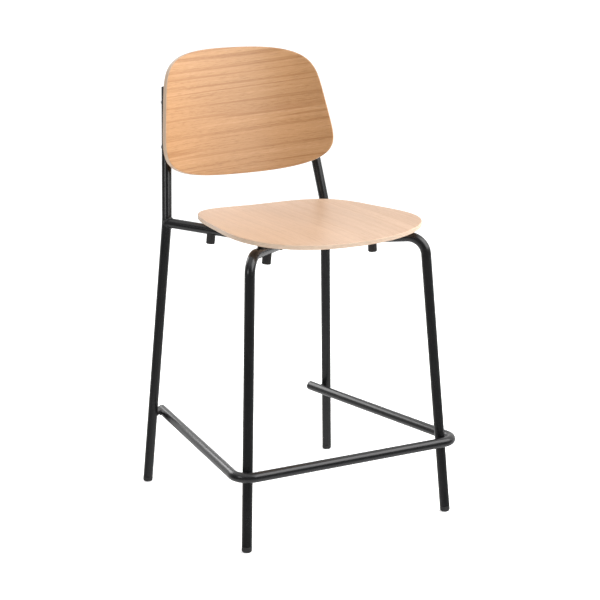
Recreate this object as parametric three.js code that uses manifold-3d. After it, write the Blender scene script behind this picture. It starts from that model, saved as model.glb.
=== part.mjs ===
// Counter-height stool: a frame of bent round tube, a moulded plywood seat and backrest,
// and a U-shaped footrest that is open at the back.
// Millimetres, +Z up. The origin is on the floor under the middle of the stool, and the front
// faces -Y. Left and right are as seen from in front of the stool: right is +X.
import * as THREE from 'three';
import { mergeVertices } from 'three/addons/utils/BufferGeometryUtils.js';
import Module from 'manifold-3d';

const wasm = await Module();
wasm.setup();

// ---- Driving dimensions ----

// Clearances
const GAP = 0.3; // between pieces that touch
const WELD_GAP = 0.4; // between a leaning leg and the bend of the footrest welded to it
const BOLT_CLEARANCE = 0.5; // around a screw in a drilled hole

// Tube
const TUBE_OD = 22;
const TUBE_WALL = 1.5;
const CROSS_TUBE_OD = 16;

// Stance: the axes of the legs where they meet the floor
const FRONT_STANCE = 496;
const REAR_STANCE = 482;
const STANCE_DEPTH = 506;
const FRONT_LEAN_IN = 36; // how far the top of a leg stands inside its foot
const FRONT_LEAN_BACK = 45;
const REAR_LEAN_IN = 37;
const REAR_LEAN_FORWARD = 51;

// Seat tubes, which carry on from the front legs to the rear legs
const LEG_TOP_HEIGHT = 615.5; // where a front leg's axis meets its seat tube's, above the floor
const LEG_TOP_BEND = 40; // bend radii are to the tube's axis
const WAIST_HALF_WIDTH = 34; // where each seat tube turns back, from the middle of the stool
const WAIST_BEHIND_LEGS = 170; // from the front legs' tops
const WAIST_DROP = 19; // below the legs' tops, to clear the hollow of the seat
const WAIST_BEND = 60;
const FRONT_CROSS_TUBE_FROM_WAIST = 47;
const REAR_CROSS_TUBE_FROM_WAIST = 100;

// Uprights, which carry on from the rear legs
const KINK_ABOVE_SEAT_TUBES = 3.5;
const KINK_BEND = 100;
const UPRIGHT_RISE = 288;
const UPRIGHT_LEAN_IN = 33;
const UPRIGHT_RECLINE = 61;

// Footrest
const FOOTREST_HEIGHT = 164.5; // axis above the floor
const FOOTREST_BEND = 34;
const FOOTREST_HUG_ANGLE = 58; // degrees, where the bend touches the front leg
const STUB_LENGTH = 7.5; // between the rear leg and the footrest rail inside it
const STUB_OD = 10;
const FOOTREST_OVERRUN = 20; // of the rail beyond the rear leg

// Seat
const SEAT_HALF_WIDTH = 212;
const SEAT_HALF_DEPTH = 215;
const SEAT_TAPER = 34; // gained in half width from the middle to the front edge
const SEAT_SIDE_POWER = 2.9; // higher powers give squarer corners
const SEAT_END_POWER = 4;
const SEAT_FORWARD = 40; // of the seat's middle from the stool's middle
const SEAT_THICKNESS = 10;
const SEAT_ABOVE_LEG_TOPS = 22; // middle of the seat's face
const SEAT_SIDE_LIFT = 15;
const SEAT_FRONT_FALL = 6.5;
const SEAT_BACK_LIFT = 5;

// Backrest
const BACK_HALF_WIDTH = 214.5;
const BACK_HALF_HEIGHT = 143.5;
const BACK_TAPER = -26; // lost in half width from the middle to the top edge
const BACK_SIDE_POWER = 2.5;
const BACK_END_POWER = 5.2;
const BACK_THICKNESS = 10;
const BACK_RADIUS = 383; // of the hollow front face
const BACK_TILT = 9.3; // degrees from upright
const BACK_CENTRE_BELOW_TOP = 59.5; // of the uprights
const BACK_STANDOFF = 15; // from the uprights to the back of the panel
const PLY_EDGE_RADIUS = 1.8;

// Fastening of the panels
const SCREW_OD = 6;
const SEAT_SCREW_HEAD = { od: 11, height: 6 };
const BACK_SCREW_HEAD = { od: 9, height: 2.2 };
const INSERT_OD = 9;
const INSERT_LENGTH = 7.5;
const SCREW_ENGAGEMENT = 6;
const FRONT_SEAT_SCREW_FROM_LEG = 116; // along the seat tube's straight lines
const REAR_SEAT_SCREW_FROM_LEG = 113;
const SUPPORT_PAD_FROM_LEG = 70;
const SUPPORT_PAD_OD = 16;
const BACK_SCREWS_BELOW_TOP = { lower: 127, upper: 30 }; // of the uprights
const SEAT_SPACER_OD = 24;
const BACK_SPACER_OD = 18;
const BUMPER_OD = 19.5;
const BUMPER_HEIGHT = 20;
const BUMPER_FLOOR = 6; // thickness that the screw head clamps
const BUMPER_EDGE_RADIUS = 2;

// Plastic plugs
const GLIDE_HEIGHT = 12;
const GLIDE_EDGE_RADIUS = 6;
const GLIDE_SUNK = 1; // cut off flat where the leaning glide meets the floor
const STEM_LENGTH = 16;
const CAP_HEAD = 2.4;
const CAP_EDGE_RADIUS = 1.4;

// Facets
const TUBE_SIDES = 18;
const SMALL_SIDES = 18;
const PANEL_SIDES = 60;
const PANEL_RINGS = 5;
const DEGREES_PER_BEND_STEP = 12;
const CORNER_STEPS = 3;

// ---- Materials ----

const standard = (color, roughness, metalness) =>
  new THREE.MeshStandardMaterial({ color, roughness, metalness });
const POWDER_COAT = standard(0x151618, 0.45, 0.2);
const BLACK_PLASTIC = standard(0x1b1b1c, 0.6, 0);
const SEAT_OAK = standard(0xe3c6a6, 0.5, 0);
const BACK_OAK = standard(0xcf9f70, 0.5, 0);
const ZINC = standard(0xb5b8ba, 0.35, 1);

// ---- Booleans ----

// A geometry's shared vertices merged, with the slivers on a lathe's axis left out
function welded(geometry) {
  const bare = geometry.index ? geometry.toNonIndexed() : geometry.clone();
  for (const name of ['normal', 'uv']) bare.deleteAttribute(name);
  const merged = mergeVertices(bare, 1e-4);
  const corners = merged.index.array;
  const kept = [];
  for (let i = 0; i < corners.length; i += 3) {
    const [a, b, c] = [corners[i], corners[i + 1], corners[i + 2]];
    if (a !== b && b !== c && c !== a) kept.push(a, b, c);
  }
  merged.setIndex(kept);
  merged.computeVertexNormals();
  return merged;
}

function solidOf(geometry) {
  const mesh = welded(geometry);
  const vertProperties = new Float32Array(mesh.attributes.position.array);
  const triVerts = new Uint32Array(mesh.index.array);
  return new wasm.Manifold(new wasm.Mesh({ numProp: 3, vertProperties, triVerts }));
}

// The first geometry less all the others
function cut(geometry, ...tools) {
  let solid = solidOf(geometry);
  for (const tool of tools) solid = solid.subtract(solidOf(tool));
  const mesh = solid.getMesh();
  const result = new THREE.BufferGeometry();
  result.setAttribute('position', new THREE.BufferAttribute(new Float32Array(mesh.vertProperties), 3));
  result.setIndex(new THREE.BufferAttribute(new Uint32Array(mesh.triVerts), 1));
  result.computeVertexNormals();
  return result;
}

// ---- Lines and turned shapes ----

const vec = (x, y, z) => new THREE.Vector3(x, y, z);
const between = (a, b, share) => a.clone().lerp(b, share);
const towards = (a, b, distance) => a.clone().addScaledVector(b.clone().sub(a).normalize(), distance);
const onSide = (point, side) => vec(point.x * side, point.y, point.z);
const atHeight = (a, b, z) => between(a, b, (z - a.z) / (b.z - a.z));

// A line through the points whose corners are arcs. It is stepped only round the arcs.
class BentLine extends THREE.Curve {
  constructor(points, radii) {
    super();
    const first = points[0];
    const last = points[points.length - 1];
    this.stations = [{ at: first, along: points[1].clone().sub(first).normalize() }];
    radii.forEach((radius, i) => this.addBend(points[i], points[i + 1], points[i + 2], radius));
    const before = points[points.length - 2];
    this.stations.push({ at: last, along: last.clone().sub(before).normalize() });
  }

  addBend(before, corner, after, radius) {
    const inward = corner.clone().sub(before).normalize();
    const outward = after.clone().sub(corner).normalize();
    const turn = inward.angleTo(outward);
    const axis = inward.clone().cross(outward).normalize();
    const start = corner.clone().addScaledVector(inward, -radius * Math.tan(turn / 2));
    const centre = start.clone().addScaledVector(axis.clone().cross(inward), radius);
    const steps = Math.max(2, Math.ceil(THREE.MathUtils.radToDeg(turn) / DEGREES_PER_BEND_STEP));
    for (let i = 0; i <= steps; i += 1) {
      const angle = (turn * i) / steps;
      this.stations.push({
        at: start.clone().sub(centre).applyAxisAngle(axis, angle).add(centre),
        along: inward.clone().applyAxisAngle(axis, angle),
      });
    }
  }

  get steps() {
    return this.stations.length - 1;
  }

  getPointAt(u, target = vec(0, 0, 0)) {
    return target.copy(this.stations[Math.round(u * this.steps)].at);
  }

  getTangentAt(u, target = vec(0, 0, 0)) {
    return target.copy(this.stations[Math.round(u * this.steps)].along);
  }
}

function swept(line, outerRadius, innerRadius = 0) {
  const section = new THREE.Shape().absarc(0, 0, outerRadius, 0, 2 * Math.PI);
  if (innerRadius > 0) section.holes.push(new THREE.Path().absarc(0, 0, innerRadius, 0, 2 * Math.PI));
  const options = { steps: line.steps, curveSegments: TUBE_SIDES / 2, extrudePath: line };
  return new THREE.ExtrudeGeometry(section, options);
}

const tube = (line, od) => swept(line, od / 2, od / 2 - TUBE_WALL);
const clearanceOf = (line, od) => swept(line, od / 2 + GAP);
const straight = (a, b) => new BentLine([a, b], []);

// A turned shape: its profile is [radius, height] pairs, from low to high on the outside
function turned(profile, sides = SMALL_SIDES) {
  const points = profile.map(([radius, height]) => new THREE.Vector2(radius, height));
  return new THREE.LatheGeometry(points, sides);
}

// A quarter round of a turned profile, from one compass angle to another in degrees
function quarter(radius, height, size, from, to) {
  return Array.from({ length: CORNER_STEPS + 1 }, (_, i) => {
    const angle = THREE.MathUtils.degToRad(from + ((to - from) * i) / CORNER_STEPS);
    return [radius + size * Math.cos(angle), height + size * Math.sin(angle)];
  });
}

// The turned shape's axis laid along a direction, with its zero height at a point
function placed(geometry, point, direction) {
  const turn = new THREE.Quaternion().setFromUnitVectors(vec(0, 1, 0), direction);
  return geometry.clone().applyQuaternion(turn).translate(point.x, point.y, point.z);
}

const rod = (radius, from, to) => turned([[0, from], [radius, from], [radius, to], [0, to]]);

// A ring of the given bore
function ring(outer, inner, from, to) {
  return turned([[inner, from], [outer, from], [outer, to], [inner, to], [inner, from]]);
}

// ---- The stool's lines ----

const TOP = LEG_TOP_HEIGHT;
const FRONT = -STANCE_DEPTH / 2;
const REAR = STANCE_DEPTH / 2;
const frontFoot = vec(FRONT_STANCE / 2, FRONT, 0);
const frontTop = vec(FRONT_STANCE / 2 - FRONT_LEAN_IN, FRONT + FRONT_LEAN_BACK, TOP);
const rearFoot = vec(REAR_STANCE / 2, REAR, 0);
const kink = vec(REAR_STANCE / 2 - REAR_LEAN_IN, REAR - REAR_LEAN_FORWARD, TOP + KINK_ABOVE_SEAT_TUBES);
const uprightTop = kink.clone().add(vec(-UPRIGHT_LEAN_IN, UPRIGHT_RECLINE, UPRIGHT_RISE));
const waist = vec(WAIST_HALF_WIDTH, frontTop.y + WAIST_BEHIND_LEGS, TOP - WAIST_DROP);
const seatTubeEnd = atHeight(rearFoot, kink, TOP);

const sideLine = (side) => {
  const corners = [towards(frontFoot, frontTop, GLIDE_HEIGHT), frontTop, waist, seatTubeEnd];
  return new BentLine(corners.map((point) => onSide(point, side)), [LEG_TOP_BEND, WAIST_BEND]);
};
const rearLine = (side) => {
  const corners = [towards(rearFoot, kink, GLIDE_HEIGHT), kink, uprightTop];
  return new BentLine(corners.map((point) => onSide(point, side)), [KINK_BEND]);
};

// The footrest bends round the front legs, and its rails pass inside the rear legs
function footrestCorners() {
  const frontLeg = atHeight(frontFoot, frontTop, FOOTREST_HEIGHT);
  const rearLeg = atHeight(rearFoot, kink, FOOTREST_HEIGHT);
  const hug = THREE.MathUtils.degToRad(FOOTREST_HUG_ANGLE);
  const reach = FOOTREST_BEND - TUBE_OD - WELD_GAP;
  const centre = frontLeg.clone().add(vec(-reach * Math.cos(hug), reach * Math.sin(hug), 0));
  const beside = rearLeg.clone().add(vec(-TUBE_OD - STUB_LENGTH, 0, 0));
  const sight = beside.clone().sub(centre);
  const radial = Math.atan2(sight.y, sight.x) - Math.acos(FOOTREST_BEND / sight.length());
  const outward = vec(Math.cos(radial), Math.sin(radial), 0);
  const along = vec(-Math.sin(radial), Math.cos(radial), 0);
  const tangent = centre.clone().addScaledVector(outward, FOOTREST_BEND);
  const drop = (tangent.y - (centre.y - FOOTREST_BEND)) / along.y;
  return {
    corner: tangent.clone().addScaledVector(along, -drop),
    beside,
    end: beside.clone().addScaledVector(along, FOOTREST_OVERRUN),
    along,
    rearLeg,
  };
}
const footrest = footrestCorners();
const footrestLine = new BentLine(
  [onSide(footrest.end, -1), onSide(footrest.corner, -1), footrest.corner, footrest.end],
  [FOOTREST_BEND, FOOTREST_BEND],
);

// ---- Moulded panels ----

// A rounded, tapered outline: the point at an angle, at a share of the way out from the middle
function outlinePoint(size, cosine, sine, share) {
  const v = Math.sign(sine) * Math.abs(sine) ** (2 / size.endPower);
  const u = Math.sign(cosine) * Math.abs(cosine) ** (2 / size.sidePower);
  return [share * (size.halfWidth + size.taper * v) * u, share * size.halfLength * v];
}

// A sheet of one thickness with eased edges. bend() takes a point of the flat sheet, with its
// height measured from the face, to its place in the stool.
function panel(size, bend) {
  const ease = PLY_EDGE_RADIUS;
  const rim = 1 - ease / size.halfLength;
  const inner = Array.from({ length: PANEL_RINGS }, (_, i) => (i / PANEL_RINGS) * rim);
  const profile = [
    ...inner.map((share) => [share, -size.thickness]),
    [rim, -size.thickness],
    [1, ease - size.thickness],
    [1, -ease],
    [rim, 0],
    ...inner.reverse().map((share) => [share, 0]),
  ];
  const geometry = welded(turned(profile, PANEL_SIDES));
  const place = geometry.attributes.position;
  for (let i = 0; i < place.count; i += 1) {
    const [x, height, z] = [place.getX(i), place.getY(i), place.getZ(i)];
    const share = Math.hypot(x, z);
    const [cosine, sine] = share > 0 ? [x / share, -z / share] : [1, 0];
    const [u, v] = outlinePoint(size, cosine, sine, share);
    place.setXYZ(i, ...bend(u, v, height));
  }
  geometry.computeVertexNormals();
  return geometry;
}

const SEAT_SHAPE = {
  halfWidth: SEAT_HALF_WIDTH,
  halfLength: SEAT_HALF_DEPTH,
  taper: -SEAT_TAPER,
  sidePower: SEAT_SIDE_POWER,
  endPower: SEAT_END_POWER,
  thickness: SEAT_THICKNESS,
};
const SEAT_FACE = TOP + SEAT_ABOVE_LEG_TOPS;

// How far the seat's face stands above its lowest line
function seatRise(x, y) {
  const across = x / SEAT_HALF_WIDTH;
  const along = (y + SEAT_FORWARD) / SEAT_HALF_DEPTH;
  const end = along < 0 ? -SEAT_FRONT_FALL : SEAT_BACK_LIFT;
  return SEAT_SIDE_LIFT * across ** 2 + end * along ** 2;
}

function seatPanel(lowered = 0) {
  return panel(SEAT_SHAPE, (u, v, height) => {
    const y = v - SEAT_FORWARD;
    return [u, y, SEAT_FACE + seatRise(u, y) + height - lowered];
  });
}

const BACK_SHAPE = {
  halfWidth: BACK_HALF_WIDTH,
  halfLength: BACK_HALF_HEIGHT,
  taper: BACK_TAPER,
  sidePower: BACK_SIDE_POWER,
  endPower: BACK_END_POWER,
  thickness: BACK_THICKNESS,
};
const tilt = THREE.MathUtils.degToRad(BACK_TILT);
const backUp = vec(0, Math.sin(tilt), Math.cos(tilt));
const backForward = vec(0, -Math.cos(tilt), Math.sin(tilt));

// The middle of the backrest's face, set so that its back stands off the uprights
function backCentre() {
  const beside = atHeight(kink, uprightTop, uprightTop.z - BACK_CENTRE_BELOW_TOP);
  const reach = BACK_RADIUS + BACK_THICKNESS + BACK_STANDOFF + TUBE_OD / 2;
  const depth = Math.sqrt(reach ** 2 - beside.x ** 2) - BACK_RADIUS;
  return vec(0, beside.y, beside.z).addScaledVector(backForward, depth);
}
const backMiddle = backCentre();

const backPanel = () => panel(BACK_SHAPE, (u, v, height) => {
  const angle = u / BACK_RADIUS;
  const radius = BACK_RADIUS - height;
  const forward = BACK_RADIUS - radius * Math.cos(angle);
  const point = backMiddle.clone().addScaledVector(backUp, v).addScaledVector(backForward, forward);
  return [radius * Math.sin(angle), point.y, point.z];
});

// ---- Fixing points ----

const SIDES = [['left', -1], ['right', 1]];

// Each has its point on the tube's axis, the direction from there to the panel, and the
// distance along it to the panel
function seatFixing(name, side, right) {
  const at = onSide(right, side);
  const slopeX = seatRise(at.x + 1, at.y) - seatRise(at.x, at.y);
  const slopeY = seatRise(at.x, at.y + 1) - seatRise(at.x, at.y);
  const direction = vec(-slopeX, -slopeY, 1).normalize();
  const underside = SEAT_FACE - SEAT_THICKNESS + seatRise(at.x, at.y);
  return { name, side, at, direction, reach: (underside - at.z) * direction.z };
}

function seatFixings() {
  const front = towards(frontTop, waist, FRONT_SEAT_SCREW_FROM_LEG);
  const rear = towards(seatTubeEnd, waist, REAR_SEAT_SCREW_FROM_LEG);
  return SIDES.flatMap(([name, side]) => [
    seatFixing(`front_${name}`, side, front),
    seatFixing(`rear_${name}`, side, rear),
  ]);
}

function backFixings() {
  const fixings = [];
  for (const [level, below] of Object.entries(BACK_SCREWS_BELOW_TOP)) {
    for (const [sideName, side] of SIDES) {
      const right = atHeight(kink, uprightTop, uprightTop.z - below);
      const at = onSide(right, side);
      const offset = at.clone().sub(backMiddle);
      const behind = BACK_RADIUS - offset.dot(backForward);
      const direction = vec(-at.x, 0, 0).addScaledVector(backForward, behind).normalize();
      const reach = Math.hypot(at.x, behind) - BACK_RADIUS - BACK_THICKNESS;
      fixings.push({ name: `${level}_${sideName}`, side, at, direction, reach });
    }
  }
  return fixings;
}

const seatPoints = seatFixings();
const backPoints = backFixings();
const holeRadius = SCREW_OD / 2 + BOLT_CLEARANCE;
const drilled = (fixing) => placed(rod(holeRadius, -TUBE_OD, TUBE_OD), fixing.at, fixing.direction);
const pocket = (fixing) => {
  const hole = rod(INSERT_OD / 2 + GAP, -2, INSERT_LENGTH + 2 * GAP);
  return placed(hole, fixing.at.clone().addScaledVector(fixing.direction, fixing.reach), fixing.direction);
};

// ---- The pieces ----

const stool = new THREE.Group();

function add(name, geometry, material, point = vec(0, 0, 0), direction = vec(0, 1, 0)) {
  const mesh = new THREE.Mesh(geometry, material);
  mesh.name = name;
  mesh.position.copy(point);
  mesh.quaternion.setFromUnitVectors(vec(0, 1, 0), direction);
  stool.add(mesh);
}

function addFrame() {
  for (const [name, side] of SIDES) {
    const front = sideLine(side);
    const rear = rearLine(side);
    const seatHoles = seatPoints.filter((fixing) => fixing.side === side).map(drilled);
    const backHoles = backPoints.filter((fixing) => fixing.side === side).map(drilled);
    const sideTube = cut(tube(front, TUBE_OD), clearanceOf(rear, TUBE_OD), ...seatHoles);
    add(`${name}_side_tube`, sideTube, POWDER_COAT);
    add(`${name}_rear_leg_and_upright`, cut(tube(rear, TUBE_OD), ...backHoles), POWDER_COAT);
  }
}

function addCrossTubes() {
  const sides = SIDES.map(([, side]) => clearanceOf(sideLine(side), TUBE_OD));
  const ends = {
    front: between(waist, frontTop, FRONT_CROSS_TUBE_FROM_WAIST / (waist.y - frontTop.y)),
    rear: between(waist, seatTubeEnd, REAR_CROSS_TUBE_FROM_WAIST / (seatTubeEnd.y - waist.y)),
  };
  for (const [name, end] of Object.entries(ends)) {
    const across = straight(onSide(end, -1), end);
    add(`${name}_cross_tube`, cut(tube(across, CROSS_TUBE_OD), ...sides), POWDER_COAT);
  }
}

function addFootrest() {
  add('footrest_tube', tube(footrestLine, TUBE_OD), POWDER_COAT);
  const rail = clearanceOf(footrestLine, TUBE_OD);
  for (const [name, side] of SIDES) {
    const link = straight(onSide(footrest.beside, side), onSide(footrest.rearLeg, side));
    const stub = cut(swept(link, STUB_OD / 2), rail, clearanceOf(rearLine(side), TUBE_OD));
    add(`${name}_footrest_stub`, stub, POWDER_COAT);
  }
}

// A plug for the tube's open end: a stem inside the tube and a head outside it
function plugProfile(head) {
  const stem = TUBE_OD / 2 - TUBE_WALL - GAP;
  return [[0, -STEM_LENGTH], [stem - 1, -STEM_LENGTH], [stem, 1 - STEM_LENGTH], [stem, GAP], ...head];
}

function addPlugs() {
  const radius = TUBE_OD / 2;
  const rounded = quarter(radius - CAP_EDGE_RADIUS, CAP_HEAD - CAP_EDGE_RADIUS, CAP_EDGE_RADIUS, 0, 90);
  const cap = welded(turned(plugProfile([[radius, GAP], ...rounded, [0, CAP_HEAD]])));
  const dome = quarter(radius - GLIDE_EDGE_RADIUS, GLIDE_HEIGHT + GLIDE_SUNK - GLIDE_EDGE_RADIUS,
    GLIDE_EDGE_RADIUS, 0, 90);
  const glide = turned(plugProfile([[radius, GAP], ...dome, [0, GLIDE_HEIGHT + GLIDE_SUNK]]));
  const below = new THREE.BoxGeometry(2 * FRONT_STANCE, 2 * STANCE_DEPTH, TUBE_OD);
  const floor = below.translate(0, 0, -TUBE_OD / 2);
  for (const [name, side] of SIDES) {
    const legs = { front: [frontFoot, frontTop], rear: [rearFoot, kink] };
    for (const [end, [foot, top]] of Object.entries(legs)) {
      const start = onSide(towards(foot, top, GLIDE_HEIGHT), side);
      const down = onSide(foot, side).sub(start).normalize();
      add(`${end}_${name}_glide`, cut(placed(glide, start, down), floor), BLACK_PLASTIC);
    }
    const up = onSide(uprightTop.clone().sub(kink), side).normalize();
    add(`${name}_upright_cap`, cap, BLACK_PLASTIC, onSide(uprightTop, side), up);
    const [end, along] = [onSide(footrest.end, side), onSide(footrest.along, side)];
    add(`${name}_footrest_plug`, cap, BLACK_PLASTIC, end, along);
  }
}

function addPanels() {
  add('seat_panel', cut(seatPanel(), ...seatPoints.map(pocket)), SEAT_OAK);
  add('backrest_panel', cut(backPanel(), ...backPoints.map(pocket)), BACK_OAK);
}

// A screw with its head below zero height and its shank above
function screw(head, length) {
  const edge = head.height * 0.3;
  const radius = head.od / 2;
  return welded(turned([
    [0, -head.height],
    [radius - edge, -head.height],
    [radius, edge - head.height],
    [radius, 0],
    [SCREW_OD / 2, 0],
    [SCREW_OD / 2, length],
    [0, length],
  ]));
}

const insert = welded(ring(INSERT_OD / 2, SCREW_OD / 2 + GAP, 0, INSERT_LENGTH));

function addSeatFixings() {
  const solid = seatPanel(GAP);
  const tubeRadius = TUBE_OD / 2;
  const spacerStart = tubeRadius / 2;
  const bottom = -tubeRadius - BUMPER_HEIGHT;
  const seatFace = -tubeRadius - BUMPER_FLOOR;
  const recess = SEAT_SCREW_HEAD.od / 2 + BOLT_CLEARANCE;
  const outside = BUMPER_OD / 2;
  const edge = BUMPER_EDGE_RADIUS;
  const rounded = quarter(outside - edge, bottom + edge, edge, -90, 0);
  const bumper = turned([
    [recess, bottom],
    ...rounded,
    [outside, -spacerStart],
    [holeRadius, -spacerStart],
    [holeRadius, seatFace],
    [recess, seatFace],
    [recess, bottom],
  ]);
  for (const { name, side, at, direction, reach } of seatPoints) {
    const tubeSpace = clearanceOf(sideLine(side), TUBE_OD);
    const sleeve = ring(SEAT_SPACER_OD / 2, holeRadius, spacerStart, reach + SEAT_THICKNESS / 2);
    add(`seat_spacer_${name}`, cut(placed(sleeve, at, direction), tubeSpace, solid), BLACK_PLASTIC);
    add(`stacking_bumper_${name}`, cut(placed(bumper, at, direction), tubeSpace), BLACK_PLASTIC);
    const headFace = at.clone().addScaledVector(direction, seatFace - GAP);
    const length = reach - seatFace + GAP + SCREW_ENGAGEMENT;
    add(`seat_screw_${name}`, screw(SEAT_SCREW_HEAD, length), ZINC, headFace, direction);
    const mouth = at.clone().addScaledVector(direction, reach + GAP);
    add(`seat_insert_${name}`, insert, ZINC, mouth, direction);
  }
}

// Pads on the seat tubes that hold up the front corners of the seat
function addSupportPads() {
  const solid = seatPanel(GAP);
  for (const [name, side] of SIDES) {
    const { at, direction, reach } = seatFixing(name, side, towards(frontTop, waist, SUPPORT_PAD_FROM_LEG));
    const pad = rod(SUPPORT_PAD_OD / 2, TUBE_OD / 4, reach + SEAT_THICKNESS / 2);
    const tubeSpace = clearanceOf(sideLine(side), TUBE_OD);
    add(`front_${name}_support_pad`, cut(placed(pad, at, direction), tubeSpace, solid), BLACK_PLASTIC);
  }
}

function addBackFixings() {
  const tubeRadius = TUBE_OD / 2;
  for (const { name, side, at, direction, reach } of backPoints) {
    const sleeve = ring(BACK_SPACER_OD / 2, holeRadius, tubeRadius / 2, reach - GAP);
    const tubeSpace = clearanceOf(rearLine(side), TUBE_OD);
    add(`backrest_spacer_${name}`, cut(placed(sleeve, at, direction), tubeSpace), BLACK_PLASTIC);
    const headFace = at.clone().addScaledVector(direction, -tubeRadius - GAP);
    const length = reach + tubeRadius + GAP + SCREW_ENGAGEMENT;
    add(`backrest_screw_${name}`, screw(BACK_SCREW_HEAD, length), ZINC, headFace, direction);
    const mouth = at.clone().addScaledVector(direction, reach + GAP);
    add(`backrest_insert_${name}`, insert, ZINC, mouth, direction);
  }
}

addFrame();
addCrossTubes();
addFootrest();
addPlugs();
addPanels();
addSeatFixings();
addSupportPads();
addBackFixings();

// The lowest, middle point of the whole stool goes on the origin
const extent = new THREE.Box3().setFromObject(stool);
stool.position.y = -extent.getCenter(vec(0, 0, 0)).y;

export default stool;
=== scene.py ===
"""Looks of the counter-height stool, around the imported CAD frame.

Lengths are in millimetres until a mesh is made, and the stool's lines are the CAD model's own.
"""

import math

import bpy
from mathutils import Matrix, Vector


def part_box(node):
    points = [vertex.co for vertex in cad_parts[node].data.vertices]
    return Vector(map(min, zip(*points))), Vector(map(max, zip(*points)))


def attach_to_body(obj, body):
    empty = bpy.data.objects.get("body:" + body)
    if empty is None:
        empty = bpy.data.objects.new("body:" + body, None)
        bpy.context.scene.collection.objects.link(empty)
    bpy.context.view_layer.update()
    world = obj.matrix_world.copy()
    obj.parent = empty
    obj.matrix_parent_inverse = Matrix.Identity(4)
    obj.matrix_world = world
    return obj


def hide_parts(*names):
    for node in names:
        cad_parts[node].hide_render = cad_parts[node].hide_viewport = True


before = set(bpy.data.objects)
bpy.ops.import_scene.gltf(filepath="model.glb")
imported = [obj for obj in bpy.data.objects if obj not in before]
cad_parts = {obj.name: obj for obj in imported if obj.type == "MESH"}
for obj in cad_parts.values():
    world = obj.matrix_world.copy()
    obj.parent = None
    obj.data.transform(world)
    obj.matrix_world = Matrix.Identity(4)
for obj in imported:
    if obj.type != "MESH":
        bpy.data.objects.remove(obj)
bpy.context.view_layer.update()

# ---- Sizes, as in the CAD model ----

TUBE_R = 11.0
TUBE_WALL = 1.5
BORE_R = TUBE_R - TUBE_WALL
CROSS_R = 8.0
GAP = 0.3
WELD_GAP = 0.4
LEG_TOP_HEIGHT = 615.5
LEG_TOP_BEND = 40.0
WAIST_BEND = 60.0
KINK_BEND = 100.0
CROSS_TUBES_FROM_WAIST = {"front": 47.0, "rear": 100.0}
FOOTREST_HEIGHT = 164.5
FOOTREST_BEND = 34.0
FOOTREST_HUG_ANGLE = 58.0
STUB_LENGTH = 7.5
STUB_R = 5.0
FOOTREST_OVERRUN = 20.0
PLY_EDGE_RADIUS = 1.8
SEAT_FORWARD = 40.0
SEAT_ABOVE_LEG_TOPS = 22.0
SEAT_FACE = LEG_TOP_HEIGHT + SEAT_ABOVE_LEG_TOPS
SEAT_SIDE_LIFT = 15.0
SEAT_FRONT_FALL = 6.5
SEAT_BACK_LIFT = 5.0
BACK_RADIUS = 383.0
BACK_TILT = math.radians(9.3)
BACK_CENTRE_BELOW_TOP = 59.5
BACK_STANDOFF = 15.0
FRONT_SEAT_SCREW_FROM_LEG = 116.0
REAR_SEAT_SCREW_FROM_LEG = 113.0
SUPPORT_PAD_FROM_LEG = 70.0
BACK_SCREWS_BELOW_TOP = {"lower": 127.0, "upper": 30.0}
GLIDE_HEIGHT = 12.0
GLIDE_EDGE_RADIUS = 6.0
GLIDE_SUNK = 1.0
STEM_LENGTH = 16.0
CAP_HEAD = 2.4
CAP_EDGE_RADIUS = 1.4
CAP_CROWN_FROM_EDGE = 3.0
CAP_CROWN_RISE = 0.04
BUMPER_HEIGHT = 20.0
BUMPER_FLOOR = 6.0
BUMPER_R = 9.75
BUMPER_EDGE_RADIUS = 2.0
BUMPER_RECESS_R = 6.0
SEAT_SPACER_R = 12.0
BACK_SPACER_R = 9.0
SUPPORT_PAD_R = 8.0
# Spacers, pads and bumpers start inside the tube's skin, this far from its axis
SEAT_SPACER_START = 6.0
BACK_SPACER_START = 5.0
SUPPORT_PAD_START = 5.0
BUMPER_START = 6.0
HOLE_R = 3.5
SCREW_R = 3.0
SOCKET_R = 2.0
SCREW_ENGAGEMENT = 6.0
SEAT_SCREW_HEAD = (5.5, 6.0)  # radius and height
BACK_SCREW_HEAD = (4.5, 2.2)

# Weld beads, which only the looks have
WELD_R = 2.4
STUB_WELD_R = 2.0
LEG_WELD_R = 2.5
LEG_WELD_LEVEL = 4.2
LEG_WELD_HALF_ANGLE = math.radians(15.0)
LEG_WELD_SINK = 0.4
LEG_WELD_SPREAD = 0.9

PANEL_RINGS = 22
PANEL_EDGE_STEPS = 6
PANEL_SIDES = 288
CORNER_CROWDING = 0.11

SEAT = dict(
    half_width=212.0, half_length=215.0, taper=-34.0, side_power=2.9, end_power=4.0, thickness=10.0
)
BACK = dict(
    half_width=214.5, half_length=143.5, taper=-26.0, side_power=2.5, end_power=5.2, thickness=10.0
)


def middle_y(name):
    low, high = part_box(name)
    return (low[1] + high[1]) * 500.0


# The CAD model is moved along Y so that its box is centred on the origin. The feet are as far
# in front of the lines' own origin as they are behind it.
SHIFT = (middle_y("front_left_glide") + middle_y("rear_left_glide")) / 2.0

# ---- Lines ----


def on_side(point, side):
    return Vector((point.x * side, point.y, point.z))


def towards(a, b, distance):
    return a + (b - a).normalized() * distance


def at_height(a, b, z):
    return a.lerp(b, (z - a.z) / (b.z - a.z))


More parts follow.
